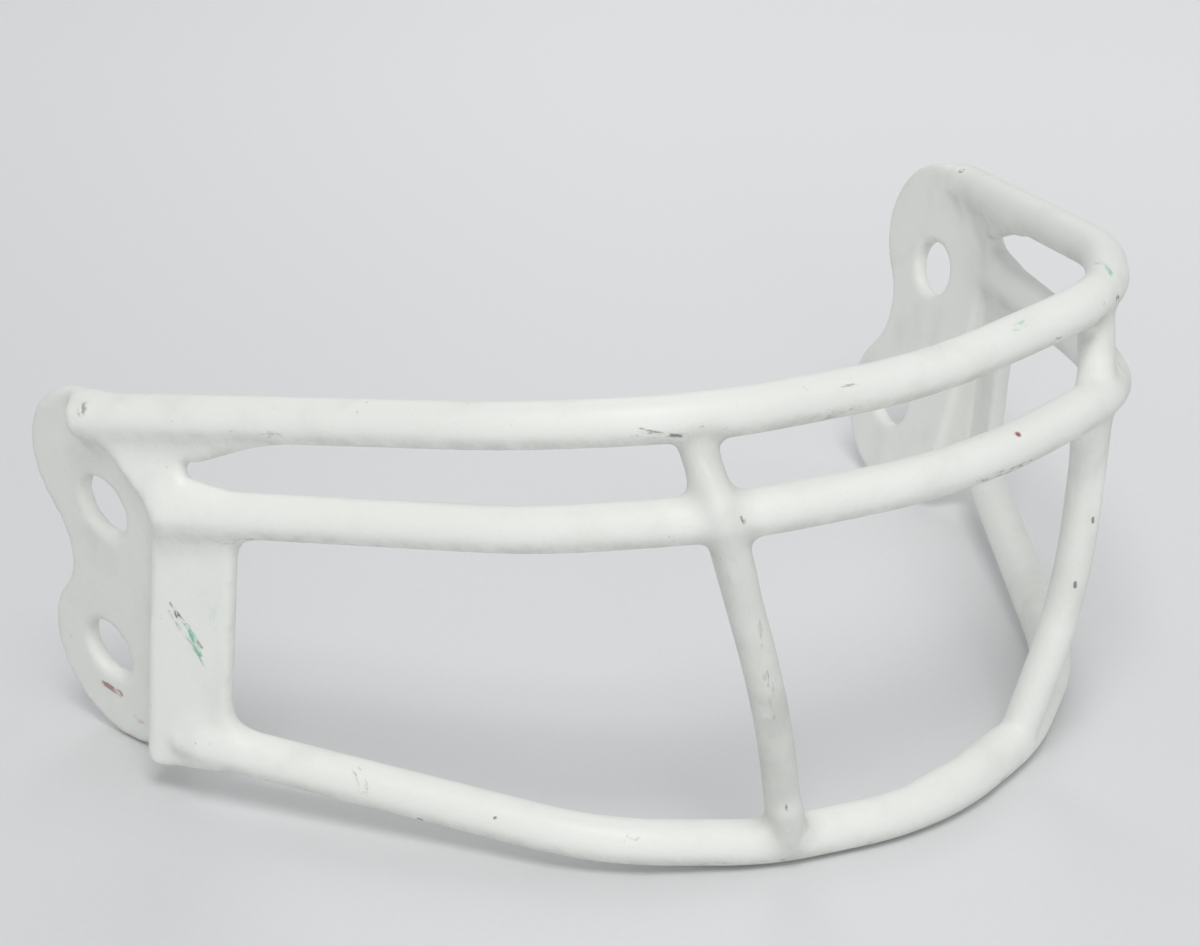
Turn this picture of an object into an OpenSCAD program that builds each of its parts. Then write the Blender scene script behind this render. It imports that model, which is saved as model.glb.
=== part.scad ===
// Welded wire facemask with a dipped coating and two side plates, sizes in millimetres.
// X runs across the mask, the mask's front faces -Y and Z is up. The origin is on the ground under its middle.
// Both halves mirror each other, and the points below are those of the half on the +X side.

/* [Wire and coating] */
// Diameter of the bare wire in the three long bars
bar_wire = 6.35; // [5.5:0.05:7.2]
// Diameter of the bare wire in the uprights
upright_wire = 5; // [4.2:0.1:5.6]
// Thickness of the coating on the wires
wire_coat = 1.2; // [0.9:0.05:1.5]
// Thickness of the steel sheet of the side plates
sheet = 1.6; // [1.2:0.1:2]
// Thickness of the coating on each face and edge of the side plates
sheet_coat = 1.1; // [0.8:0.05:1.4]
// Thickness of the weld seam between a bar and the sheet
seam = 2.6; // [2.2:0.1:3]
// Width of the weld collar round an upright's end
collar = 0.5; // [0.3:0.05:0.6]

/* [Top bar] */
// Distance of the nose ahead of the middle of the mask
top_nose_y = 58; // [55:0.1:61]
// Height of the nose
top_nose_z = 90.4; // [88:0.1:94]
// Half the width at the front corners
top_corner_x = 51.6; // [48:0.1:55]
// Distance of the front corners ahead of the middle
top_corner_y = 55.5; // [53:0.1:58]
// Height of the front corners
top_corner_z = 94.2; // [92:0.1:98]
// Half the width at the cheeks
top_cheek_x = 75.8; // [72:0.1:79]
// Distance of the cheeks ahead of the middle
top_cheek_y = 31.7; // [28:0.1:35]
// Height of the cheeks
top_cheek_z = 90.6; // [88:0.1:93]
// Half the width between the ends on the side plates
top_end_x = 116.4; // [115:0.1:118]
// Distance of the ends behind the middle
top_end_y = 46.9; // [44.5:0.1:48.5]
// Height of the ends
top_end_z = 76; // [75:0.1:77.5]
// Bend radii at the nose, at the corners and at the cheeks
top_nose_bend = 212; // [150:1:300]
top_corner_bend = 60; // [50:1:64]
top_cheek_bend = 66; // [40:1:90]

/* [Middle bar] */
// Distance of the nose ahead of the middle of the mask
middle_nose_y = 70.1; // [67:0.1:73]
// Height of the nose
middle_nose_z = 75.8; // [74:0.1:78]
// Half the width at the front corners
middle_corner_x = 49; // [46:0.1:52]
// Distance of the front corners ahead of the middle
middle_corner_y = 61.3; // [59:0.1:63]
// Height of the front corners
middle_corner_z = 76.8; // [75:0.1:79]
// Half the width at the cheeks
middle_cheek_x = 71.9; // [69:0.1:75]
// Distance of the cheeks ahead of the middle
middle_cheek_y = 35.4; // [32:0.1:38]
// Height of the cheeks
middle_cheek_z = 70.7; // [69:0.1:73]
// Half the width between the ends on the side plates
middle_end_x = 109.5; // [108.5:0.1:110.5]
// Distance of the ends behind the middle
middle_end_y = 28.7; // [27:0.1:30]
// Height of the ends
middle_end_z = 61; // [59.5:0.1:62.5]
// Bend radii at the nose, at the corners and at the cheeks
middle_nose_bend = 181; // [140:1:240]
middle_corner_bend = 37; // [28:1:44]
middle_cheek_bend = 120; // [80:1:160]

/* [Bottom bar] */
// Distance of the nose ahead of the middle of the mask
bottom_nose_y = 68; // [65:0.1:71]
// Half the width at the front corners
bottom_corner_x = 34.3; // [32:0.1:37]
// Distance of the front corners ahead of the middle
bottom_corner_y = 58.3; // [56:0.1:60]
// Half the width at the cheeks
bottom_cheek_x = 61.2; // [58:0.1:64]
// Distance of the cheeks ahead of the middle
bottom_cheek_y = 41.7; // [39:0.1:44]
// Height of the cheeks
bottom_cheek_z = 6.2; // [5:0.1:8]
// Half the width between the ends on the side plates
bottom_end_x = 105.8; // [105:0.1:106.6]
// Distance of the ends behind the middle
bottom_end_y = 24.4; // [23:0.1:25.5]
// Height of the ends
bottom_end_z = 12.8; // [12:0.1:14]
// Bend radii at the nose, at the corners and at the cheeks
bottom_nose_bend = 73; // [50:1:90]
bottom_corner_bend = 60; // [54:1:72]
bottom_cheek_bend = 57; // [40:1:80]

/* [Uprights] */
// Half the distance between the uprights where they bow forward most
bow_x = 39.1; // [37:0.1:41]
// Distance of that place ahead of the middle
bow_y = 63.2; // [61:0.1:65]
// Height of that place
bow_z = 36.7; // [33:0.1:42]
// Bend radius there
bow_bend = 165; // [100:1:200]
// Distance of the uprights behind the centre line of the top bar
top_back = 0.6; // [0.4:0.1:1]
// Distance of the uprights behind the centre line of the middle bar
knee_back = 1.8; // [1.5:0.1:2.5]
// Bend radius of the uprights behind the middle bar
knee_bend = 20; // [10:1:30]
// Distance of the uprights from the middle of those bars' corners, towards the cheeks
upright_out = 1.6; // [0:0.1:3]
// Distance from the bottom bar's corner to the upright's foot, towards the nose
foot_step = 3.9; // [3.4:0.1:4.4]

/* [Side plate wing] */
// Half the distance between the outer faces at the lower lobes
wing_x = 108; // [107:0.1:109]
// Distance of the lower lobes behind the middle
wing_y = 53.2; // [51.5:0.1:54.5]
// Angle in plan by which the wings close towards the front
wing_toe = 9.9; // [8:0.1:12]
// Angle by which the wings close towards the ground
wing_lean = 8.1; // [7:0.1:9]
// Angle by which the line of the two holes leans forward going up
wing_roll = 10.6; // [9:0.1:12]
// Radius of the lower lobe
lower_lobe = 18.7; // [17.5:0.1:20]
// Radius of the upper lobe
upper_lobe = 18.4; // [17.5:0.1:20]
// Radius of the hollow between the lobes
waist = 14.5; // [10:0.1:20]
// Diameter of the two strap holes inside the coating
hole = 12.4; // [10:0.1:14]
// Distance between the two holes
hole_pitch = 35.5; // [34:0.1:37]
// Lower hole's place behind and above the lower lobe's middle
hole_back = 2.4; // [0:0.1:4]
hole_up = 2; // [0:0.1:4]
// Upper lobe's middle behind and above the upper hole
lobe_back = 2.5; // [1:0.1:4]
lobe_up = 5.5; // [4:0.1:7]

/* [Side plate flange] */
// Length of the flange ahead of the middle bar's end
flange_front = 15; // [13:0.1:16]
// Length of the flange ahead of the bottom bar's end, at its foot
flange_foot_front = 5.4; // [5:0.1:8]
// Distance of the fold behind the middle bar's end
fold_knee = 1.2; // [1:0.1:3]
// Distance of the fold behind the middle bar's end, at the flange's foot
fold_foot = 11.8; // [10:0.1:13]
// Distance from the middle bar down to the flange's foot edge
flange_drop = 54; // [53:0.1:55]
// Distance of the fold's top ahead of the top bar's end
fold_top = 2.6; // [2:0.1:4]
// Direction of the step from flange to wing, in plan, from straight inward
step_turn = 20; // [5:1:35]
// Radius of the slot's rear end between the top and middle bars
slot_end = 1.8; // [1.4:0.1:2.6]
// Place of the slot's rear end ahead of the middle bar's end
slot_front = 6; // [5:0.1:9]
// Height of the slot's rear end above the middle bar
slot_up = 8; // [7.9:0.1:9]
// Length of the slot's slanting lower edge, ahead of its rear end
slot_flare = 8.4; // [7:0.1:10]
// Place where the slot's upper edge meets the top bar, ahead of the middle bar's end
slot_mouth = 28; // [24:0.1:32]

/* [Hidden] */
$fn = 64;
STEEL = [0.62, 0.63, 0.64];
BRIGHT = [0.75, 0.72, 0.66];
WHITE = [0.91, 0.91, 0.88];
LEFT = -1;
RIGHT = 1;
TOP = 0;
MIDDLE = 1;
BOTTOM = 2;
BARS = [TOP, MIDDLE, BOTTOM];

bar_od = bar_wire + 2 * wire_coat;
upright_od = upright_wire + 2 * wire_coat;
collar_od = upright_wire + 2 * collar;
plate_t = sheet + 2 * sheet_coat;
// The sheet's folds are this much thinner than the sheet, so that round and flat faces cross
fold_ease = 0.1;
// A bend is this much thinner than the runs beside it, which reach into it by a lap
bend_ease = 0.02;
lap = 0.05;
// Longest part of a run that one bend may use
bend_share = 0.48;
// The slot's edges meet its round end at this share of the radius
slot_bite = 0.8;
// Degrees between the points on the lobes
lobe_step = 6;
up = [0, 0, 1];

// Vectors and frames
function unit(v) = v / norm(v);
function flip(p) = [-p[0], p[1], p[2]];
function frame(x, y, z, o) = [
    [x[0], y[0], z[0], o[0]],
    [x[1], y[1], z[1], o[1]],
    [x[2], y[2], z[2], o[2]],
    [0, 0, 0, 1]
];

// A path of corner points: bend i has a turn, a tangent length, a radius and a centre
function to_last(p, i) = unit(p[i - 1] - p[i]);
function to_next(p, i) = unit(p[i + 1] - p[i]);
function turn(p, i) = 180 - acos(to_last(p, i) * to_next(p, i));
function room(p, i) = bend_share * min(norm(p[i - 1] - p[i]), norm(p[i + 1] - p[i]));
function tangent(p, r, i) = min(r[i] * tan(turn(p, i) / 2), room(p, i));
function radius(p, r, i) = tangent(p, r, i) / tan(turn(p, i) / 2);
function inward(p, i) = unit(to_last(p, i) + to_next(p, i));
function centre(p, r, i) = p[i] + inward(p, i) * radius(p, r, i) / cos(turn(p, i) / 2);
function bend_start(p, r, i) = p[i] + to_last(p, i) * tangent(p, r, i);
function bend_end(p, r, i) = p[i] + to_next(p, i) * tangent(p, r, i);
function bend_middle(p, r, i) = centre(p, r, i) - inward(p, i) * radius(p, r, i);

// The bars: end, cheek, corner and nose of one half, then the other half
function whole(h) = [h[0], h[1], h[2], h[3], flip(h[2]), flip(h[1]), flip(h[0])];
function bends(nose, corner, cheek) = [0, cheek, corner, nose, corner, cheek, 0];
top_path = whole([
    [top_end_x, top_end_y, top_end_z],
    [top_cheek_x, -top_cheek_y, top_cheek_z],
    [top_corner_x, -top_corner_y, top_corner_z],
    [0, -top_nose_y, top_nose_z]
]);
top_bends = bends(top_nose_bend, top_corner_bend, top_cheek_bend);
middle_path = whole([
    [middle_end_x, middle_end_y, middle_end_z],
    [middle_cheek_x, -middle_cheek_y, middle_cheek_z],
    [middle_corner_x, -middle_corner_y, middle_corner_z],
    [0, -middle_nose_y, middle_nose_z]
]);
middle_bends = bends(middle_nose_bend, middle_corner_bend, middle_cheek_bend);
// The bottom bar lies on the ground from corner to corner
bottom_path = whole([
    [bottom_end_x, bottom_end_y, bottom_end_z],
    [bottom_cheek_x, -bottom_cheek_y, bottom_cheek_z],
    [bottom_corner_x, -bottom_corner_y, bar_od / 2],
    [0, -bottom_nose_y, bar_od / 2]
]);
bottom_bends = bends(bottom_nose_bend, bottom_corner_bend, bottom_cheek_bend);

bar_path = [top_path, middle_path, bottom_path];
bar_bend = [top_bends, middle_bends, bottom_bends];
// The coating closes the ends of the lower two bars, and leaves the top bar's ends bare
bar_cap = [0, sheet_coat, sheet_coat];

// Each upright runs from the top bar, behind the middle bar and down into the bottom bar
function outward(p, i) = unit(to_last(p, i) - to_next(p, i));
function joint(i, back) =
    bend_middle(bar_path[i], bar_bend[i], 2)
    + inward(bar_path[i], 2) * back
    + outward(bar_path[i], 2) * upright_out;
foot_joint = bottom_path[2] + to_next(bottom_path, 2) * foot_step;
upright_path = [joint(TOP, top_back), joint(MIDDLE, knee_back), [bow_x, -bow_y, bow_z], foot_joint];
upright_bends = [0, knee_bend, bow_bend, 0];

// The wing: its outer face has x to the rear, y up the line of the holes and z outward
wing_turn = [0, 0, -wing_toe];
function turned(v) = [
    v[0] * cos(wing_toe) + v[1] * sin(wing_toe),
    v[1] * cos(wing_toe) - v[0] * sin(wing_toe),
    v[2]
];
wing_rear = turned([sin(wing_roll) * sin(wing_lean), cos(wing_roll), sin(wing_roll) * cos(wing_lean)]);
wing_up = turned([cos(wing_roll) * sin(wing_lean), -sin(wing_roll), cos(wing_roll) * cos(wing_lean)]);
wing_out = turned([cos(wing_lean), 0, -sin(wing_lean)]);
// The lower lobe touches the ground
wing_origin = [wing_x, wing_y, lower_lobe * cos(wing_lean)];
wing_middle = wing_origin - wing_out * plate_t / 2;
function on_wing(p) = [(p - wing_middle) * wing_rear, (p - wing_middle) * wing_up];
lower_hole = [hole_back, hole_up];
upper_hole = lower_hole + [0, hole_pitch];
upper_centre = upper_hole + [lobe_back, lobe_up];

// The flange: two flat faces that meet on the middle bar's centre line
flange_origin = middle_path[0];
flange_rear = unit(middle_path[0] - middle_path[1]);
function flange_out(p) = unit(cross(flange_rear, p - flange_origin));
lower_out = -flange_out(bottom_path[0]);
upper_out = flange_out(top_path[0]);
lower_up = cross(lower_out, flange_rear);
upper_up = cross(upper_out, flange_rear);
function on_lower(x, y) = flange_origin + flange_rear * x + lower_up * y;
function on_upper(x, y) = flange_origin + flange_rear * x + upper_up * y;
top_end_place = [(top_path[0] - flange_origin) * flange_rear, (top_path[0] - flange_origin) * upper_up];
top_run = unit(top_path[0] - top_path[1]);
top_run_slope = (top_run * upper_up) / (top_run * flange_rear);
foot_place = [(bottom_path[0] - flange_origin) * flange_rear, (bottom_path[0] - flange_origin) * lower_up];

// The fold from flange to wing, and where the step's far edge meets the wing
fold_points = [
    on_upper(top_end_place[0] - fold_top, top_end_place[1]),
    on_lower(fold_knee, 0),
    on_lower(fold_foot, plate_t / 2 - flange_drop)
];
step_way = [-cos(step_turn), sin(step_turn), 0];
function step_length(p) = ((p - wing_middle) * wing_out) / -(step_way * wing_out);
function stepped(p) = p + step_way * step_length(p);
wing_points = [for (p = fold_points) stepped(p)];

// The wing's outline: arcs of the lobes and of the waist between them, drawn in by a margin
function arc(c, r, a, b) = [
    for (i = [0 : ceil(abs(b - a) / lobe_step)])
        c + r * [
            cos(a + (b - a) * i / ceil(abs(b - a) / lobe_step)),
            sin(a + (b - a) * i / ceil(abs(b - a) / lobe_step))
        ]
];
function bearing(v) = atan2(v[1], v[0]);
function between(c, d, r, s) =
    let (l = norm(d - c), a = (l * l + r * r - s * s) / (2 * l), w = (d - c) / l)
    c + w * a + [w[1], -w[0]] * sqrt(r * r - a * a);
function wing_outline(m) =
    let (
        foot = on_wing(stepped(on_lower(fold_foot, m - flange_drop))),
        knee = on_wing(wing_points[1]),
        top = on_wing(wing_points[0]),
        r1 = upper_lobe - m,
        r2 = lower_lobe - m,
        h = between([0, 0], upper_centre, lower_lobe + waist, upper_lobe + waist),
        a1 = bearing(upper_centre - h),
        a2 = bearing(-h),
        a3 = bearing(foot) + acos(min(1, r2 / norm(foot)))
    )
    concat(
        [foot, knee, top],
        arc(upper_centre, r1, bearing(top - upper_centre), a1 - 180),
        arc(h, waist + m, a1, a2 + 360),
        arc([0, 0], r2, a2 + 180, a3)
    );

module straight(a, b, d) {
    z = unit(b - a);
    x = unit(cross(up, z));
    multmatrix(frame(x, cross(z, x), z, a))
        cylinder(d = d, h = norm(b - a));
}

module bend(p, r, i, d) {
    c = centre(p, r, i);
    x = unit(bend_start(p, r, i) - c);
    z = unit(cross(x, bend_end(p, r, i) - c));
    multmatrix(frame(x, cross(z, x), z, c))
        rotate_extrude(angle = turn(p, i))
            translate([radius(p, r, i), 0])
                circle(d = d - bend_ease);
}

// A wire or its coating along a path, with square ends carried on by a cap's length
module rod(p, r, d, cap) {
    last = len(p) - 1;
    for (i = [1 : last]) {
        a = i == 1 ? p[0] - to_next(p, 0) * cap : bend_end(p, r, i - 1) - to_next(p, i - 1) * lap;
        b = i == last ? p[last] - to_last(p, last) * cap : bend_start(p, r, i) - to_last(p, i) * lap;
        straight(a, b, d);
    }
    for (i = [1 : last - 1])
        bend(p, r, i, d);
}

module bare_bar(i) rod(bar_path[i], bar_bend[i], bar_wire, 0);
module coated_bar(i) rod(bar_path[i], bar_bend[i], bar_od, bar_cap[i]);
module bare_bars() for (i = BARS) bare_bar(i);
module coated_bars() for (i = BARS) coated_bar(i);
module upright(d) rod(upright_path, upright_bends, d, 0);

module side(s) {
    if (s == LEFT) mirror([1, 0, 0]) children();
    else children();
}

// A flat piece of sheet on the frame x, y with its middle plane through o
module panel(x, y, o, t, points) {
    multmatrix(frame(x, y, cross(x, y), o))
        translate([0, 0, -t / 2])
            linear_extrude(t)
                polygon(points);
}

// One flat stretch of the step from flange to wing, rounded along its folds
module step(i, t) {
    hull()
        for (p = [fold_points[i], fold_points[i + 1], wing_points[i], wing_points[i + 1]])
            translate(p) sphere(d = t - fold_ease, $fn = 24);
}

// The flange below the middle bar, drawn in by a margin at its free edges
module lower_flange(t, m) {
    panel(flange_rear, lower_up, flange_origin, t, [
        [fold_knee, 0],
        [-flange_front + m, 0],
        [foot_place[0] - flange_foot_front + m, foot_place[1]],
        [foot_place[0] - flange_foot_front + m, -flange_drop + m],
        [fold_foot, -flange_drop + m]
    ]);
}

// The flange above the middle bar, up to the top bar, with the slot's round rear end
module upper_flange(t, m) {
    mouth_y = top_end_place[1] - top_run_slope * (top_end_place[0] + slot_mouth);
    difference() {
        panel(flange_rear, upper_up, flange_origin, t, [
            [fold_knee, 0],
            [top_end_place[0] - fold_top, top_end_place[1]],
            [-slot_mouth, mouth_y],
            [-slot_mouth, mouth_y - bar_od / 4],
            [-slot_front, slot_up + (slot_end + m) * slot_bite],
            [-slot_front, slot_up - (slot_end + m) * slot_bite],
            [m - slot_front - slot_flare, 0]
        ]);
        multmatrix(frame(flange_rear, upper_up, upper_out, on_upper(-slot_front, slot_up)))
            cylinder(r = slot_end + m, h = 4 * t, center = true);
    }
}

module wing(t, m) {
    panel(wing_rear, wing_up, wing_middle, t, wing_outline(m));
}

module web(t, m) {
    lower_flange(t, m);
    upper_flange(t, m);
}

module wing_hole(c, d) {
    multmatrix(frame(wing_rear, wing_up, wing_out, wing_middle + wing_rear * c[0] + wing_up * c[1]))
        cylinder(d = d, h = 4 * plate_t, center = true);
}

// A side plate of thickness t, drawn in by m at its free edges, with holes of diameter d
module plate(t, m, d) {
    difference() {
        union() {
            web(t, m);
            step(0, t);
            step(1, t);
            wing(t, m);
        }
        wing_hole(lower_hole, d);
        wing_hole(upper_hole, d);
    }
}

module bar_wire(i) color(STEEL) bare_bar(i);

module upright_wire(s) {
    color(STEEL) side(s)
        difference() {
            upright(upright_wire);
            bare_bars();
        }
}

module side_plate(s) {
    color(STEEL) side(s)
        difference() {
            plate(sheet, sheet_coat, hole + 2 * sheet_coat);
            coated_bars();
        }
}

// A seam fills the coating's thickness between a bar's wire and the sheet
module plate_weld(s, i) {
    color(BRIGHT) side(s)
        difference() {
            intersection() {
                web(seam, sheet_coat);
                coated_bar(i);
            }
            bare_bar(i);
        }
}

// A collar fills the coating's thickness round an upright where it meets a bar
module upright_weld(s, i) {
    color(BRIGHT) side(s)
        difference() {
            intersection() {
                upright(collar_od);
                coated_bar(i);
            }
            bare_bar(i);
            upright(upright_wire);
        }
}

// A bar's coating leaves room for the seams and collars
module bar_coat(i) {
    color(WHITE)
        difference() {
            coated_bar(i);
            bare_bar(i);
            for (s = [LEFT, RIGHT])
                side(s) {
                    web(seam, sheet_coat);
                    upright(collar_od);
                }
        }
}

module upright_coat(s) {
    color(WHITE) side(s)
        difference() {
            upright(upright_od);
            upright(upright_wire);
            coated_bars();
        }
}

module plate_coat(s) {
    color(WHITE) side(s)
        difference() {
            plate(plate_t, 0, hole);
            plate(sheet, sheet_coat, hole + 2 * sheet_coat);
            web(seam, sheet_coat);
            coated_bars();
        }
}

bar_wire(TOP);  // top_bar_wire
bar_wire(MIDDLE);  // middle_bar_wire
bar_wire(BOTTOM);  // bottom_bar_wire
upright_wire(LEFT);  // left_upright_wire
upright_wire(RIGHT);  // right_upright_wire
side_plate(LEFT);  // left_side_plate
side_plate(RIGHT);  // right_side_plate
plate_weld(LEFT, TOP);  // left_top_plate_weld
plate_weld(LEFT, MIDDLE);  // left_middle_plate_weld
plate_weld(LEFT, BOTTOM);  // left_bottom_plate_weld
plate_weld(RIGHT, TOP);  // right_top_plate_weld
plate_weld(RIGHT, MIDDLE);  // right_middle_plate_weld
plate_weld(RIGHT, BOTTOM);  // right_bottom_plate_weld
upright_weld(LEFT, TOP);  // left_top_upright_weld
upright_weld(LEFT, MIDDLE);  // left_middle_upright_weld
upright_weld(LEFT, BOTTOM);  // left_bottom_upright_weld
upright_weld(RIGHT, TOP);  // right_top_upright_weld
upright_weld(RIGHT, MIDDLE);  // right_middle_upright_weld
upright_weld(RIGHT, BOTTOM);  // right_bottom_upright_weld
bar_coat(TOP);  // top_bar_coat
bar_coat(MIDDLE);  // middle_bar_coat
bar_coat(BOTTOM);  // bottom_bar_coat
upright_coat(LEFT);  // left_upright_coat
upright_coat(RIGHT);  // right_upright_coat
plate_coat(LEFT);  // left_plate_coat
plate_coat(RIGHT);  // right_plate_coat
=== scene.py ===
"""Wire facemask of a helmet under one dipped white coating, lying on a pale table."""

import logging
from dataclasses import dataclass
from enum import Enum

import bmesh
import bpy
import numpy as np
import openvdb
from mathutils import Matrix, Vector

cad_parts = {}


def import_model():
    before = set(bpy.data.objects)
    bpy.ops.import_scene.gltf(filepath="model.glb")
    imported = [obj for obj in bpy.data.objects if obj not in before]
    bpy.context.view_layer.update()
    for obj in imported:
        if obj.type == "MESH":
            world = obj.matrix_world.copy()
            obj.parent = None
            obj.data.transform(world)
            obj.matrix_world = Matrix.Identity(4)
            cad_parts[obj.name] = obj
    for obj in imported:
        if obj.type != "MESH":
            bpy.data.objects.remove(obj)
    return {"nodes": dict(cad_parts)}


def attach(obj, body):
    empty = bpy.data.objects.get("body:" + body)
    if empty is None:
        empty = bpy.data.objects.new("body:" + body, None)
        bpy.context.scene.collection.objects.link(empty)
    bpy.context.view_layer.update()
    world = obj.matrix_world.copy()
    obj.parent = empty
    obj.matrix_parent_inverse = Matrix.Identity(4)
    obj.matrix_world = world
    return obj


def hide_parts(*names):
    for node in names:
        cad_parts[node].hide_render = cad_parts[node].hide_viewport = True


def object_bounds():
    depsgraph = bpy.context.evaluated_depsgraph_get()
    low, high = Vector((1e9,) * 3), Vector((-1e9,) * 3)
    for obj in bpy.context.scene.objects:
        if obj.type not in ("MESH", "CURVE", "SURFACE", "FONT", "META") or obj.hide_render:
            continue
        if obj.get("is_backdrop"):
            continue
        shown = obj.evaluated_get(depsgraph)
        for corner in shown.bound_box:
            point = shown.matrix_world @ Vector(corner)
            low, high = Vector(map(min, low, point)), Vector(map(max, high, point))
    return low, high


LOG = logging.getLogger("facemask")
MM = 0.001
PHOTO_WIDTH = 1200
NUMBER = "NodeSocketFloat"
PLACE = "NodeSocketVector"
FINE_LAYERS = 4.0
MIX_INPUTS = (0, 6, 7)
MIX_RESULT = 2
Point = tuple[float, float, float]
Colour = tuple[float, float, float, float]


def paint(red: int, green: int, blue: int) -> Colour:
    """Turns a colour as it is seen on a screen into the linear colour of a shader.

    Args:
        red: Red from 0 to 255.
        green: Green from 0 to 255.
        blue: Blue from 0 to 255.

    Returns:
        The linear colour with full alpha.
    """
    linear = [
        c / 12.92 if c <= 0.04045 else ((c + 0.055) / 1.055) ** 2.4
        for c in (red / 255, green / 255, blue / 255)
    ]
    return (*linear, 1.0)


class Body(Enum):
    """The bodies that pieces ride on."""

    MASK = "root"


class Slot(Enum):
    """The record's material slots."""

    COATING = "white_coating"


class Steel(Enum):
    """The kinds of bare metal under the coating, by the end of a node's name."""

    WIRE = "_wire"
    SHEET = "_side_plate"
    WELD = "_weld"


@dataclass
class Tree:
    """A node tree that is filled by short calls."""

    tree: bpy.types.NodeTree

    def add(self, kind: str, **settings: object) -> bpy.types.Node:
        """Adds a node.

        Args:
            kind: The node's type name.
            settings: Values for the node's own properties.

        Returns:
            The new node.
        """
        node = self.tree.nodes.new(kind)
        for name, value in settings.items():
            setattr(node, name, value)
        return node

    def feed(self, target: bpy.types.NodeSocket, source: object) -> None:
        """Links a socket to an input, or sets the input's value.

        Args:
            target: The input socket.
            source: An output socket, or a plain value.
        """
        if isinstance(source, bpy.types.NodeSocket):
            self.tree.links.new(source, target)
        else:
            target.default_value = source

    def maths(self, operation: str, *sources: object) -> bpy.types.NodeSocket:
        """Adds a sum of numbers.

        Args:
            operation: The operation's name.
            sources: Sockets or numbers, in order.

        Returns:
            The result's socket.
        """
        node = self.add("ShaderNodeMath", operation=operation)
        for target, source in zip(node.inputs, sources):
            self.feed(target, source)
        return node.outputs[0]

    def vector(self, operation: str, *sources: object) -> bpy.types.Node:
        """Adds a sum of vectors.

        Args:
            operation: The operation's name.
            sources: Sockets or vectors, in order.

        Returns:
            The node, because its result is a vector or a number.
        """
        node = self.add("ShaderNodeVectorMath", operation=operation)
        for target, source in zip(node.inputs, sources):
            self.feed(target, source)
        return node

    def noise(self, scale: float, detail: float = 3.0, rough: float = 0.5) -> bpy.types.NodeSocket:
        """Adds noise on the object's own coordinates.

        Args:
            scale: Waves in a metre.
            detail: Number of finer layers.
            rough: Strength of each finer layer.

        Returns:
            The noise from 0 to 1.
        """
        place = self.add("ShaderNodeTexCoord").outputs["Object"]
        node = self.add("ShaderNodeTexNoise")
        self.feed(node.inputs["Vector"], place)
        self.feed(node.inputs["Scale"], scale)
        self.feed(node.inputs["Detail"], detail)
        self.feed(node.inputs["Roughness"], rough)
        return node.outputs["Fac"]

    def ramp(
        self, value: object, low: object, high: object, start: float, end: float
    ) -> bpy.types.NodeSocket:
        """Adds a smooth step from one value to another.

        Args:
            value: The number that is stepped.
            low: Where the step starts.
            high: Where it ends.
            start: Result below the step.
            end: Result above the step.

        Returns:
            The stepped value.
        """
        node = self.add("ShaderNodeMapRange", interpolation_type="SMOOTHSTEP")
        names = ("Value", "From Min", "From Max", "To Min", "To Max")
        for name, source in zip(names, (value, low, high, start, end)):
            self.feed(node.inputs[name], source)
        return node.outputs["Result"]

    def mix(self, share: object, first: object, second: object) -> bpy.types.NodeSocket:
        """Mixes two colours.

        Args:
            share: Share of the second colour.
            first: First colour.
            second: Second colour.

        Returns:
            The mixed colour.
        """
        node = self.add("ShaderNodeMix", data_type="RGBA")
        for place, source in zip(MIX_INPUTS, (share, first, second)):
            self.feed(node.inputs[place], source)
        return node.outputs[MIX_RESULT]

    def group(self, shared: bpy.types.NodeTree, **values: object) -> bpy.types.NodeSocket:
        """Places a shared group.

        Args:
            shared: The group.
            values: Value or socket for each input, by name.

        Returns:
            The group's first output.
        """
        node = self.add("ShaderNodeGroup", node_tree=shared)
        for name, value in values.items():
            self.feed(node.inputs[name.capitalize()], value)
        return node.outputs[0]


def new_group(
    name: str, inputs: dict[str, str], output: str
) -> tuple[Tree, dict[str, bpy.types.NodeSocket]]:
    """Starts a shader group with one number as its output.

    Args:
        name: The group's name.
        inputs: Socket type by input name.
        output: The output's name.

    Returns:
        The group as a tree, and its input sockets by name with the output's socket as "out".
    """
    shared = bpy.data.node_groups.new(name, "ShaderNodeTree")
    for title, kind in inputs.items():
        shared.interface.new_socket(name=title, in_out="INPUT", socket_type=kind)
    shared.interface.new_socket(name=output, in_out="OUTPUT", socket_type=NUMBER)
    tree = Tree(shared)
    start = tree.add("NodeGroupInput")
    end = tree.add("NodeGroupOutput")
    sockets = {title: start.outputs[title] for title in inputs}
    sockets["out"] = end.inputs[output]
    return tree, sockets


def shared_noise(tree: Tree, place: object, scale: object) -> bpy.types.NodeSocket:
    """Adds the noise of a shared group.

    Args:
        tree: The group.
        place: Where the noise is read.
        scale: Waves in a metre.

    Returns:
        The noise from 0 to 1.
    """
    noise = tree.add("ShaderNodeTexNoise")
    tree.feed(noise.inputs["Vector"], place)
    tree.feed(noise.inputs["Scale"], scale)
    tree.feed(noise.inputs["Detail"], FINE_LAYERS)
    return noise.outputs["Fac"]


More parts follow.
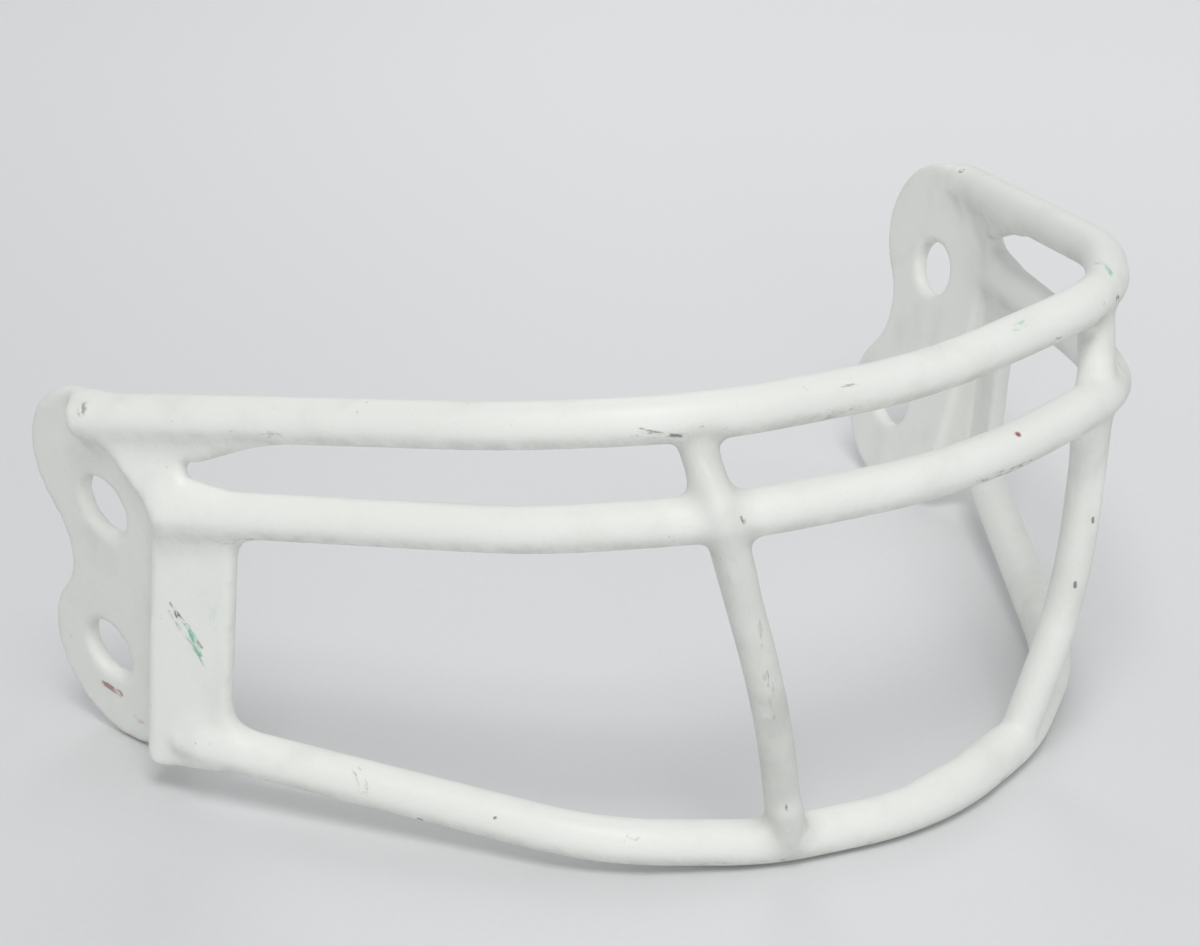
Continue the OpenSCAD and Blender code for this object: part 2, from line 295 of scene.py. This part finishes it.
@dataclass(frozen=True)
class Stroke:
    """The shared group for one mark: a short line, broken by noise that is drawn out along it."""

    shortest: float = 1e-9
    drawn: float = 0.7
    fade: float = 0.7
    cut: float = 0.32
    cut_step: float = 0.07
    cut_width: float = 0.18

    def make(self) -> bpy.types.NodeTree:
        """Builds the group.

        Returns:
            The group, with Start, End, Reach, Ragged, Grain and Strength as inputs and Mask as output.
        """
        inputs = {"Start": PLACE, "End": PLACE}
        inputs |= dict.fromkeys(("Reach", "Ragged", "Grain", "Strength"), NUMBER)
        tree, s = new_group("stroke", inputs, "Mask")
        here = tree.add("ShaderNodeTexCoord").outputs["Object"]
        line = tree.vector("SUBTRACT", s["End"], s["Start"]).outputs[0]
        way = tree.vector("SUBTRACT", here, s["Start"]).outputs[0]
        along = tree.vector("DOT_PRODUCT", way, line).outputs["Value"]
        square = tree.vector("DOT_PRODUCT", line, line).outputs["Value"]
        length = tree.maths("MAXIMUM", square, self.shortest)
        share = tree.maths("MAXIMUM", tree.maths("DIVIDE", along, length), 0.0)
        scaled = tree.add("ShaderNodeVectorMath", operation="SCALE")
        tree.feed(scaled.inputs[0], line)
        tree.feed(scaled.inputs["Scale"], tree.maths("MINIMUM", share, 1.0))
        off = tree.vector("SUBTRACT", way, scaled.outputs[0]).outputs[0]
        far = tree.vector("LENGTH", off).outputs["Value"]
        drawn = tree.vector("MULTIPLY", scaled.outputs[0], (self.drawn,) * 3).outputs[0]
        noise = shared_noise(tree, tree.vector("SUBTRACT", here, drawn).outputs[0], s["Grain"])
        cut = tree.maths("ADD", self.cut, tree.maths("MULTIPLY", s["Ragged"], self.cut_step))
        patch = tree.ramp(noise, cut, tree.maths("ADD", cut, self.cut_width), 0.0, 1.0)
        near = tree.maths("SUBTRACT", 1.0, tree.maths("DIVIDE", far, s["Reach"]))
        mask = tree.maths("MULTIPLY", patch, tree.ramp(near, 0.0, self.fade, 0.0, 1.0))
        tree.feed(s["out"], tree.maths("MULTIPLY", mask, s["Strength"]))
        return tree.tree


def fleck_group() -> bpy.types.NodeTree:
    """Builds the shared group for scattered flecks: noise cut off above a level.

    Returns:
        The group, with Grain, Level, Soft and Strength as inputs and Mask as output.
    """
    inputs = dict.fromkeys(("Grain", "Level", "Soft", "Strength"), NUMBER)
    tree, s = new_group("flecks", inputs, "Mask")
    noise = shared_noise(tree, tree.add("ShaderNodeTexCoord").outputs["Object"], s["Grain"])
    mask = tree.ramp(noise, s["Level"], tree.maths("ADD", s["Level"], s["Soft"]), 0.0, 1.0)
    tree.feed(s["out"], tree.maths("MULTIPLY", mask, s["Strength"]))
    return tree.tree


def new_material(name: str) -> tuple[bpy.types.Material, Tree, bpy.types.Node]:
    """Starts a material.

    Args:
        name: The material's name.

    Returns:
        The material, its tree and its main shader.
    """
    material = bpy.data.materials.new(name)
    material.use_nodes = True
    return material, Tree(material.node_tree), material.node_tree.nodes["Principled BSDF"]


class GrimeAndShade(Enum):
    """Colours of the marks that use has left; the grey also serves as painted shade along the uprights.
    """

    DARK = (52, 47, 44)
    GREY = (120, 118, 112)
    RUST = (92, 58, 38)
    GREEN = (112, 192, 160)
    RED = (142, 50, 46)
    PINK = (196, 150, 142)


@dataclass(frozen=True)
class Mark:
    """One mark on the coating, along a line between two places, in millimetres."""

    start: Point
    end: Point
    reach: float
    grime: GrimeAndShade
    strength: float = 0.8
    ragged: float = 1.2
    grain: float = 900.0


MARKS = (
    Mark((-118.1, 42.7, 80.2), (-118.1, 42.9, 78.4), 1.3, GrimeAndShade.RUST, 0.55, 0.4),
    Mark((111.8, 43.9, 80.6), (112.2, 44.2, 80), 1.2, GrimeAndShade.RUST, 0.7, 0.8),
    Mark((-110.4, 27.2, 42.8), (-107.2, 21.9, 34.6), 0.5, GrimeAndShade.GREY, 0.7, 1.3, 1500.0),
    Mark((-110.6, 27.6, 41), (-106.8, 21.4, 30.6), 0.5, GrimeAndShade.GREY, 0.5, 1.9, 1500.0),
    Mark((-109.8, 26.2, 40.9), (-109.6, 26, 40.3), 0.8, GrimeAndShade.DARK, 0.8, 0.8, 1800.0),
    Mark((-108.8, 24.4, 38.8), (-107.5, 22.3, 32.8), 0.8, GrimeAndShade.GREEN, 0.9, 1.3, 1200.0),
    Mark((-108.2, 23.6, 37.2), (-107.1, 21.8, 34.6), 0.7, GrimeAndShade.GREEN, 0.6, 1.9, 1200.0),
    Mark((-105.8, 19.5, 44), (-105.8, 19.5, 40), 1.6, GrimeAndShade.GREEN, 0.15, 2.0),
    Mark((-103.9, 16.4, 35.8), (-103.9, 16.4, 35.6), 1.0, GrimeAndShade.RED, 0.8, -0.5),
    Mark((-108.2, 58.8, 11.4), (-107, 54.2, 10.8), 1.2, GrimeAndShade.RED, 0.75, 0.9, 1000.0),
    Mark((-105.7, 50.5, 6.4), (-105.7, 49, 6), 1.3, GrimeAndShade.PINK, 0.5, 1.6),
    Mark((-61.9, -50.9, 93.1), (-55.7, -54.6, 91.6), 0.6, GrimeAndShade.DARK, 0.7, 1.6, 1700.0),
    Mark((-62.5, -50.6, 92.4), (-54.7, -55.2, 91), 1.4, GrimeAndShade.GREY, 0.6, 3.2, 1900.0),
    Mark((-105.2, 15.7, 80.9), (-99.3, 4.8, 82.1), 1.0, GrimeAndShade.GREY, 0.5, 2.8, 1700.0),
    Mark((-53, -56.3, 92.9), (-19.7, -61.4, 90.4), 1.2, GrimeAndShade.GREY, 0.6, 3.2, 1500.0),
    Mark((-30, -60.4, 90), (48, -57.3, 91.2), 1.5, GrimeAndShade.GREY, 0.4, 3.0, 1200.0),
    Mark((-23.3, -60.2, 95), (-19.7, -60.5, 94.6), 0.4, GrimeAndShade.GREY, 0.6, 1.2, 2600.0),
    Mark((31.2, -60.5, 91.3), (32.8, -60.3, 91.2), 0.5, GrimeAndShade.GREY, 0.7, 0.8, 2200.0),
    Mark((46.1, -58.7, 94.6), (46.3, -58.7, 94.5), 0.55, GrimeAndShade.DARK, 0.8, 0.4),
    Mark((52.2, -56.8, 93.8), (52.8, -56.2, 93.4), 0.9, GrimeAndShade.DARK, 0.8, 1.0, 1500.0),
    Mark((57.4, -46.2, 96.8), (53.6, -53.6, 97.2), 1.0, GrimeAndShade.GREEN, 0.6, 1.4, 900.0),
    Mark((21, -59.5, 95.6), (24, -59.1, 95.9), 1.0, GrimeAndShade.GREEN, 0.4, 1.2),
    Mark((12.9, -69.7, 79.8), (13, -69.7, 79.7), 0.85, GrimeAndShade.RED, 0.9, -2),
    Mark((1.3, -72, 74.2), (16, -70.8, 73.6), 1.1, GrimeAndShade.GREY, 0.75, 2.2, 1300.0),
    Mark((-105.5, 16.5, 58.8), (-90.3, -8.5, 62.4), 1.5, GrimeAndShade.GREY, 0.5, 3.0, 1300.0),
    Mark((-48.9, -63.7, 77.7), (-48.5, -63.7, 76.7), 0.55, GrimeAndShade.DARK, 0.9, 0.6),
    Mark((-47.6, -61.9, 67.9), (-47.2, -61.9, 66.4), 0.55, GrimeAndShade.DARK, 0.85, 0.6),
    Mark((-43.6, -64.5, 57), (-40.2, -65.4, 33), 1.9, GrimeAndShade.GREY, 0.4, 3.2, 900.0),
    Mark((-42.4, -64.9, 46), (-41.6, -65.2, 38.5), 0.4, GrimeAndShade.GREY, 0.8, 1.6, 2200.0),
    Mark((-35.4, -64.2, 15.6), (-33.7, -63, 9), 0.45, GrimeAndShade.DARK, 0.85, 0.8),
    Mark((-33.4, -61.9, 1.8), (-33.4, -61.9, 1.3), 0.7, GrimeAndShade.DARK, 0.8, 0.6),
    Mark((42.2, -64.4, 52.5), (42.2, -64.4, 51.8), 0.55, GrimeAndShade.DARK, 0.75, 0.6),
    Mark((37.8, -65.2, 40.2), (37.8, -65.2, 39.4), 0.55, GrimeAndShade.DARK, 0.75, 0.6),
    Mark((-89.3, -2.5, 14.4), (-90, -6.6, 11.1), 1.6, GrimeAndShade.GREY, 0.5, 2.8, 1100.0),
    Mark((-83.5, -14.7, 6.3), (-83.1, -15.1, 6.2), 0.6, GrimeAndShade.DARK, 0.8, 0.5),
    Mark((-75.3, -27.8, 9.8), (-75.2, -27.9, 9.8), 0.5, GrimeAndShade.DARK, 0.8, 0.5),
    Mark((-58.5, -47.1, 8.3), (-57.5, -47.7, 8), 1.5, GrimeAndShade.GREY, 0.4, 2.6, 1100.0),
    Mark((-60, -48.6, 3), (-30, -63, 1.8), 1.3, GrimeAndShade.GREY, 0.5, 3.0, 1300.0),
    Mark((-18, -66.6, 2.4), (22, -66.4, 2.6), 1.3, GrimeAndShade.GREY, 0.45, 3.0, 1300.0),
    # Painted shade: these wide, soft grey bands darken both uprights along their whole length, standing
    # in for the shade on their faces.
    Mark((-51, -53.5, 89), (-48.4, -58.1, 75.5), 8.5, GrimeAndShade.GREY, 0.2, -0.4, 150.0),
    Mark((-48, -58, 74), (-39.1, -63.2, 36.7), 8.5, GrimeAndShade.GREY, 0.17, -0.4, 150.0),
    Mark((-39.1, -63.2, 36), (-31.5, -60.5, 8), 8.5, GrimeAndShade.GREY, 0.22, -0.4, 150.0),
    Mark((51, -53.5, 89), (48.4, -57.1, 75.5), 8.5, GrimeAndShade.GREY, 0.16, -0.4, 150.0),
    Mark((48, -57.4, 74), (39.1, -63.2, 36.7), 8.5, GrimeAndShade.GREY, 0.12, -0.4, 150.0),
)


@dataclass(frozen=True)
class Flecks:
    """One layer of scattered dirt on the coating."""

    grain: float
    level: float
    soft: float
    strength: float


FLECKS = (
    Flecks(700.0, 0.72, 0.05, 0.4),
    Flecks(90.0, 0.5, 0.3, 0.12),
    Flecks(2400.0, 0.58, 0.16, 0.1),
)


@dataclass(frozen=True)
class Vinyl:
    """The coating: soft white plastic, a little uneven, with the marks of use, and with painted shade
    on faces that look down and along the uprights.
    """

    white: Colour = paint(239, 240, 236)
    shade: Colour = paint(233, 234, 229)
    dirt: Colour = paint(150, 147, 140)
    tint_scale: float = 28.0
    # Painted shade: how dark faces that look down are painted, and the range of slopes over which it
    # fades out.
    underside_grime: float = 0.36
    faces_down: float = -0.8
    faces_level: float = 0.1
    grime_scale: float = 150.0
    grime_layers: float = 7.0
    grime_rough: float = 0.7
    least_mottle: float = 0.3
    sheen_scale: float = 90.0
    smoothest: float = 0.45
    roughest: float = 0.6
    bump_strength: float = 0.25
    bump_height: float = 0.12 * MM
    bump_layers: float = 2.0
    wave_scale: float = 160.0
    pore_scale: float = 1400.0
    pore_share: float = 0.25

    def underside(self, tree: Tree) -> bpy.types.NodeSocket:
        """Paints mottled shade on faces that look down: a painted shade, darker the more a face points
        at the floor.

        Args:
            tree: The material's tree.

        Returns:
            The painted shade's mask.
        """
        normal = tree.add("ShaderNodeSeparateXYZ")
        tree.feed(normal.inputs[0], tree.add("ShaderNodeTexCoord").outputs["Normal"])
        down = normal.outputs["Z"]
        under = tree.ramp(down, self.faces_down, self.faces_level, self.underside_grime, 0.0)
        cloud = tree.noise(self.grime_scale, self.grime_layers, self.grime_rough)
        mottle = tree.ramp(cloud, 0.35, 0.65, self.least_mottle, 1.0)
        return tree.maths("MULTIPLY", under, mottle)

    def relief(self, tree: Tree) -> bpy.types.NodeSocket:
        """Makes the slight waves and pores of the surface.

        Args:
            tree: The material's tree.

        Returns:
            The bumped normal.
        """
        bump = tree.add("ShaderNodeBump")
        tree.feed(bump.inputs["Strength"], self.bump_strength)
        tree.feed(bump.inputs["Distance"], self.bump_height)
        waves = tree.noise(self.wave_scale, self.bump_layers)
        pores = tree.noise(self.pore_scale, self.bump_layers)
        height = tree.maths("ADD", waves, tree.maths("MULTIPLY", pores, self.pore_share))
        tree.feed(bump.inputs["Height"], height)
        return bump.outputs["Normal"]

    def make(self) -> bpy.types.Material:
        """Builds the material.

        Returns:
            The material.
        """
        material, tree, shader = new_material("white_coating")
        stroke, flecks = Stroke().make(), fleck_group()
        colour = tree.mix(tree.noise(self.tint_scale, FINE_LAYERS), self.white, self.shade)
        for layer in FLECKS:
            colour = tree.mix(tree.group(flecks, **vars(layer)), colour, self.dirt)
        # Painted shade: faces that look down are mixed towards the dark colour, more where the mottle
        # is strong.
        colour = tree.mix(self.underside(tree), colour, self.dirt)
        for mark in MARKS:
            mask = tree.group(
                stroke,
                start=Vector(mark.start) * MM,
                end=Vector(mark.end) * MM,
                reach=mark.reach * MM,
                ragged=mark.ragged,
                grain=mark.grain,
                strength=mark.strength,
            )
            # Each mark mixes in its colour; the wide grey bands on the uprights are painted shade.
            colour = tree.mix(mask, colour, paint(*mark.grime.value))
        tree.feed(shader.inputs["Base Color"], colour)
        sheen = tree.ramp(tree.noise(self.sheen_scale), 0.3, 0.7, self.smoothest, self.roughest)
        tree.feed(shader.inputs["Roughness"], sheen)
        tree.feed(shader.inputs["Normal"], self.relief(tree))
        return material


@dataclass(frozen=True)
class BareSteel:
    """Drawn wire, stamped sheet or weld metal, with rust where the air reaches it."""

    kind: Steel
    metal: Colour
    rust: Colour = paint(108, 66, 42)
    rust_scale: float = 260.0
    rust_layers: float = 5.0
    rust_most: float = 0.8
    sheen_scale: float = 500.0
    smoothest: float = 0.35
    roughest: float = 0.6

    def make(self) -> bpy.types.Material:
        """Builds the material.

        Returns:
            The material.
        """
        material, tree, shader = new_material(f"steel{self.kind.value}")
        cloud = tree.noise(self.rust_scale, self.rust_layers)
        spread = tree.ramp(cloud, 0.5, 0.68, 0.0, self.rust_most)
        tree.feed(shader.inputs["Base Color"], tree.mix(spread, self.metal, self.rust))
        tree.feed(shader.inputs["Metallic"], tree.maths("SUBTRACT", 1.0, spread))
        sheen = tree.ramp(tree.noise(self.sheen_scale), 0.2, 0.8, self.smoothest, self.roughest)
        tree.feed(shader.inputs["Roughness"], sheen)
        return material


METALS = {
    Steel.WIRE: paint(150, 148, 144),
    Steel.SHEET: paint(160, 158, 154),
    Steel.WELD: paint(128, 124, 118),
}


@dataclass
class Core:
    """The steel under the coating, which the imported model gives."""

    nodes: dict[str, bpy.types.Object]

    def named(self, ending: str) -> list[bpy.types.Object]:
        """Lists the nodes whose name has an ending.

        Args:
            ending: The end of the name.

        Returns:
            The nodes, in the order of their names.
        """
        return [piece for name, piece in sorted(self.nodes.items()) if name.endswith(ending)]

    def dress(self) -> None:
        """Gives each steel node its metal."""
        for kind, metal in METALS.items():
            material = BareSteel(kind, metal).make()
            for piece in self.named(kind.value):
                piece.data.materials.clear()
                piece.data.materials.append(material)
                LOG.info("%s: %s", piece.name, material.name)


@dataclass(frozen=True)
class Bead:
    """A rope of extra coating, where it ran or was built up: places and radii in millimetres."""

    places: tuple[Point, ...]
    radii: tuple[float, ...]
    blend: float


BEADS = (
    Bead(
        (
            (-50.3, -55.3, 83),
            (-50.6, -59.3, 78.4),
            (-50, -60.2, 75.5),
            (-47.9, -59.9, 70),
            (-45.9, -60, 64),
            (-43.6, -60.3, 55),
        ),
        (3.4, 3.5, 3.5, 3.5, 3.4, 3.3),
        3.0,
    ),
    Bead(
        (
            (49.3, -54.8, 84.5),
            (45.3, -59.2, 80.3),
            (43.5, -60.4, 78),
            (43.1, -60.6, 74.2),
            (43.6, -60.2, 69),
            (44.4, -59.7, 60),
        ),
        (3.6, 3.7, 3.8, 3.8, 3.7, 3.5),
        1.5,
    ),
    Bead(((-33.2, -61.7, 13), (-31.5, -61, 6.6), (-31, -60.5, 4.8)), (3.4, 3.6, 3.6), 2.5),
    Bead(((-6, -65.6, 4.4), (12, -64.2, 5.2), (27, -60.3, 5.2)), (4.2, 4.4, 4.4), 1.5),
    Bead(((-105.8, 24.4, 12.8), (-107.9, 27.8, 12.9), (-109.9, 31.3, 13)), (4.3, 3.2, 1.7), 2.5),
    Bead(((105.8, 24.4, 12.8), (107.9, 27.8, 12.9), (109.9, 31.3, 13)), (4.3, 3.2, 1.7), 2.5),
)


@dataclass
class Coating:
    """The dipped coating as one skin that stands off the steel and fills the corners between pieces."""

    core: Core
    cell: float = 0.82 * MM
    quick_cell: float = 1.2 * MM
    on_wire: float = 1.2 * MM
    on_left_upright: float = 0.95 * MM
    on_sheet: float = 1.1 * MM
    fillet: float = 2.8 * MM
    sheet_fillet: float = 6.5 * MM
    least_fillet: float = 0.01 * MM
    same_place: float = 0.001 * MM
    reach: int = 12
    pad: int = 4
    smoothing: int = 3
    smooth_share: float = 0.5

    def soup(self, pieces: list[bpy.types.Object]) -> tuple[np.ndarray, np.ndarray]:
        """Joins copies of meshes.

        Args:
            pieces: The objects.

        Returns:
            Points, and triangles as numbers of points.
        """
        work = bmesh.new()
        for piece in pieces:
            work.from_mesh(piece.data)
        bmesh.ops.remove_doubles(work, verts=work.verts, dist=self.same_place)
        bmesh.ops.triangulate(work, faces=work.faces)
        points = np.array([v.co for v in work.verts], dtype=np.float32)
        faces = np.array([[v.index for v in f.verts] for f in work.faces], dtype=np.uint32)
        work.free()
        return points, faces

    def distances(
        self, pieces: list[bpy.types.Object], low: np.ndarray, shape: np.ndarray
    ) -> np.ndarray:
        """Measures how far each cell is from some steel.

        Args:
            pieces: The steel.
            low: Number of the lowest cell.
            shape: How many cells there are each way.

        Returns:
            The distances, negative inside the steel.
        """
        points, faces = self.soup(pieces)
        grid = openvdb.FloatGrid.createLevelSetFromPolygons(
            points,
            triangles=faces,
            transform=openvdb.createLinearTransform(voxelSize=self.cell),
            halfWidth=float(self.reach),
        )
        far = np.empty(shape, dtype=np.float32)
        grid.copyToArray(far, ijk=tuple(int(n) for n in low))
        return far

    def joined(self, first: np.ndarray, second: np.ndarray, fillet: float) -> np.ndarray:
        """Joins two skins with a round fillet where they meet at an angle.

        Args:
            first: Distances to the first skin.
            second: Distances to the second skin.
            fillet: Width of the fillet at a square corner.

        Returns:
            Distances to the joined skin.
        """
        slopes = zip(np.gradient(first, self.cell), np.gradient(second, self.cell))
        along = sum(one * other for one, other in slopes)
        width = np.maximum(fillet * np.clip(1 - along, 0, 1), self.least_fillet)
        near = np.clip(1 - np.abs(first - second) / width, 0, None)
        return np.minimum(first, second) - near * near * width / 4

    def build_up(self, far: np.ndarray, low: np.ndarray, bead: Bead) -> None:
        """Adds a bead to a skin, in the cells round the bead.

        Args:
            far: Distances to the skin, which are changed.
            low: Number of the lowest cell.
            bead: The bead.
        """
        places = np.array(bead.places, dtype=np.float32) * MM
        room = (max(bead.radii) + 2 * bead.blend) * MM
        first = np.maximum(np.floor((places.min(axis=0) - room) / self.cell).astype(int) - low, 0)
        last = np.ceil((places.max(axis=0) + room) / self.cell).astype(int) - low
        block = tuple(slice(a, b) for a, b in zip(first, last))
        cells = np.stack(np.indices(far[block].shape, dtype=np.float32), axis=-1)
        here = (cells + (first + low)) * self.cell
        rope = np.full(far[block].shape, np.inf, dtype=np.float32)
        for start, end, thick, thin in zip(places, places[1:], bead.radii, bead.radii[1:]):
            line = end - start
            share = np.clip((here - start) @ line / (line @ line), 0, 1)
            off = here - start - share[..., None] * line
            radius = (thick + share * (thin - thick)) * MM
            rope = np.minimum(rope, np.sqrt((off * off).sum(axis=-1)) - radius)
        far[block] = self.joined(far[block], rope, bead.blend * MM)

    def skin(
        self, low: np.ndarray, shape: np.ndarray, box: tuple[Vector, Vector]
    ) -> tuple[np.ndarray, np.ndarray]:
        """Finds the coating's surface.

        Args:
            low: Number of the lowest cell.
            shape: How many cells there are each way.
            box: Lowest and highest corner that the surface keeps to.

        Returns:
            Points, and faces of four as numbers of points.
        """
        groups = (
            ("_bar_wire", self.on_wire, self.fillet),
            ("left_upright_wire", self.on_left_upright, self.fillet),
            ("right_upright_wire", self.on_wire, self.fillet),
            (Steel.SHEET.value, self.on_sheet, self.sheet_fillet),
        )
        far = None
        for ending, thickness, fillet in groups:
            coat = self.distances(self.core.named(ending), low, shape) - thickness
            far = coat if far is None else self.joined(far, coat, fillet)
        for bead in BEADS:
            self.build_up(far, low, bead)
        for axis, count in enumerate(shape):
            line = ((np.arange(count) + low[axis]) * self.cell).astype(np.float32)
            beyond = np.maximum(box[0][axis] - line, line - box[1][axis])
            far = np.maximum(far, beyond.reshape([-1 if n == axis else 1 for n in range(3)]))
        grid = openvdb.FloatGrid(self.reach * self.cell)
        grid.transform = openvdb.createLinearTransform(voxelSize=self.cell)
        grid.copyFromArray(far.astype(np.float32), ijk=tuple(int(n) for n in low))
        return grid.convertToQuads(isovalue=0.0)

    def make(self, box: tuple[Vector, Vector]) -> bpy.types.Object:
        """Builds the coating's piece.

        Args:
            box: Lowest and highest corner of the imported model.

        Returns:
            The piece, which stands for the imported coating's nodes.
        """
        low = np.floor(np.array(box[0]) / self.cell).astype(int) - self.pad
        high = np.ceil(np.array(box[1]) / self.cell).astype(int) + self.pad
        points, faces = self.skin(low, high - low, box)
        mesh = bpy.data.meshes.new("dipped_coating")
        mesh.from_pydata(points.tolist(), [], faces.tolist())
        work = bmesh.new()
        work.from_mesh(mesh)
        all_ways = {"use_axis_x": True, "use_axis_y": True, "use_axis_z": True}
        for _ in range(self.smoothing):
            bmesh.ops.smooth_vert(work, verts=work.verts, factor=self.smooth_share, **all_ways)
        bmesh.ops.recalc_face_normals(work, faces=work.faces)
        for face in work.faces:
            face.smooth = True
        work.to_mesh(mesh)
        work.free()
        piece = bpy.data.objects.new("dipped_coating", mesh)
        bpy.context.scene.collection.objects.link(piece)
        mesh.materials.append(Vinyl().make())
        coats = [name for name in self.core.nodes if name.endswith("_coat")]
        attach(piece, Body.MASK.value)
        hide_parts(*coats)
        LOG.info("%s: %d faces for %s", piece.name, len(mesh.polygons), ", ".join(coats))
        return piece


@dataclass(frozen=True)
class Lamp:
    """A square lamp that points at the mask."""

    place: Point
    size: float
    power: float

    def hang(self, name: str) -> None:
        """Builds the lamp.

        Args:
            name: The lamp's name.
        """
        data = bpy.data.lights.new(name, "AREA")
        data.shape = "SQUARE"
        data.size = self.size
        data.energy = self.power
        piece = bpy.data.objects.new(name, data)
        piece.location = self.place
        piece.rotation_euler = Vector(self.place).to_track_quat("Z", "Y").to_euler()
        bpy.context.scene.collection.objects.link(piece)


LAMPS = {
    "front": Lamp((-0.55, -0.68, 1.6), 0.7, 12.2),
    "low": Lamp((-1.0, -1.3, 0.45), 0.8, 4.5),
    "right": Lamp((1.4, -0.6, 1.0), 1.0, 2.0),
    "rear": Lamp((0.7, 1.2, 1.1), 1.0, 4.0),
}


@dataclass(frozen=True)
class Table:
    """The pale table that the mask lies on, with painted light and shade in its colour, and the light
    over it.
    """

    half_width: float = 2.0
    # Painted light: the near and far colours make the top brighter further from the camera.
    near: Colour = paint(226, 227, 228)
    far: Colour = paint(242, 243, 244)
    away: Point = (0.63, 0.776, 0.0)
    near_end: float = -0.05
    far_end: float = 0.5
    across: Point = (0.78, -0.626, 0.0)
    left_end: float = -0.26
    left_shade: float = 0.91
    grain_scale: float = 700.0
    grain_rough: float = 0.7
    grain_shade: float = 0.975
    roughness: float = 0.8
    sky: Colour = (0.97, 0.99, 1.0, 1.0)
    sky_strength: float = 0.46

    def top(self) -> bpy.types.Object:
        """Builds the table's top.

        Returns:
            The top, which isn't part of the object.
        """
        mesh = bpy.data.meshes.new("table")
        work = bmesh.new()
        bmesh.ops.create_grid(work, x_segments=1, y_segments=1, size=self.half_width)
        work.to_mesh(mesh)
        work.free()
        piece = bpy.data.objects.new("table", mesh)
        bpy.context.scene.collection.objects.link(piece)
        material, tree, shader = new_material("table_top")
        place = tree.add("ShaderNodeTexCoord").outputs["Object"]
        away = tree.vector("DOT_PRODUCT", place, self.away).outputs["Value"]
        across = tree.vector("DOT_PRODUCT", place, self.across).outputs["Value"]
        # Painted light: the top is painted brighter away from the camera, standing in for lamp light on
        # the far table.
        distance = tree.ramp(away, self.near_end, self.far_end, 0.0, 1.0)
        colour = tree.mix(distance, self.near, self.far)
        grain = tree.noise(self.grain_scale, FINE_LAYERS, self.grain_rough)
        mottle = tree.ramp(grain, 0.2, 0.8, self.grain_shade, 1.0)
        # Painted shade: the top is painted darker towards the left.
        left = tree.ramp(across, self.left_end, 0.0, self.left_shade, 1.0)
        shade = tree.maths("MULTIPLY", mottle, left)
        tree.feed(shader.inputs["Base Color"], tree.vector("MULTIPLY", colour, shade).outputs[0])
        tree.feed(shader.inputs["Roughness"], self.roughness)
        mesh.materials.append(material)
        piece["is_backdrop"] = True
        return piece

    def light(self) -> None:
        """Lights the table with soft lamps under a plain sky."""
        world = bpy.data.worlds.new("sky")
        world.use_nodes = True
        back = world.node_tree.nodes["Background"]
        back.inputs["Color"].default_value = self.sky
        back.inputs["Strength"].default_value = self.sky_strength
        bpy.context.scene.world = world
        for name, lamp in LAMPS.items():
            lamp.hang(name)


@dataclass(frozen=True)
class Eye:
    """The camera of the photograph: its place in millimetres, its focal length in pixels."""

    place: Point = (-366.06, -414.06, 297.15)
    right: Point = (0.78073, -0.62459, 0.01853)
    up: Point = (0.24234, 0.32999, 0.91235)
    back: Point = (-0.57596, -0.70781, 0.409)
    focal: float = 3000.0
    film: float = 36.0
    nearest: float = 10 * MM
    furthest: float = 20.0

    def make(self) -> bpy.types.Object:
        """Builds the camera and makes it the scene's own.

        Returns:
            The camera.
        """
        data = bpy.data.cameras.new("eye")
        data.sensor_width = self.film
        data.lens = self.focal * self.film / PHOTO_WIDTH
        data.clip_start = self.nearest
        data.clip_end = self.furthest
        turn = Matrix((self.right, self.up, self.back)).transposed().to_4x4()
        piece = bpy.data.objects.new("eye", data)
        piece.matrix_world = Matrix.Translation(Vector(self.place) * MM) @ turn
        bpy.context.scene.collection.objects.link(piece)
        bpy.context.scene.camera = piece
        return piece


def main() -> None:
    """Builds the mask, the table, the light and the camera."""
    logging.basicConfig(level=logging.INFO, format="%(name)s: %(message)s")
    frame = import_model()
    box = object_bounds()
    bpy.context.scene.view_settings.view_transform = "Standard"
    core = Core(frame["nodes"])
    core.dress()
    Coating(core).make(box)
    table = Table()
    table.top()
    table.light()
    Eye().make()


if __name__ == "__main__":
    main()
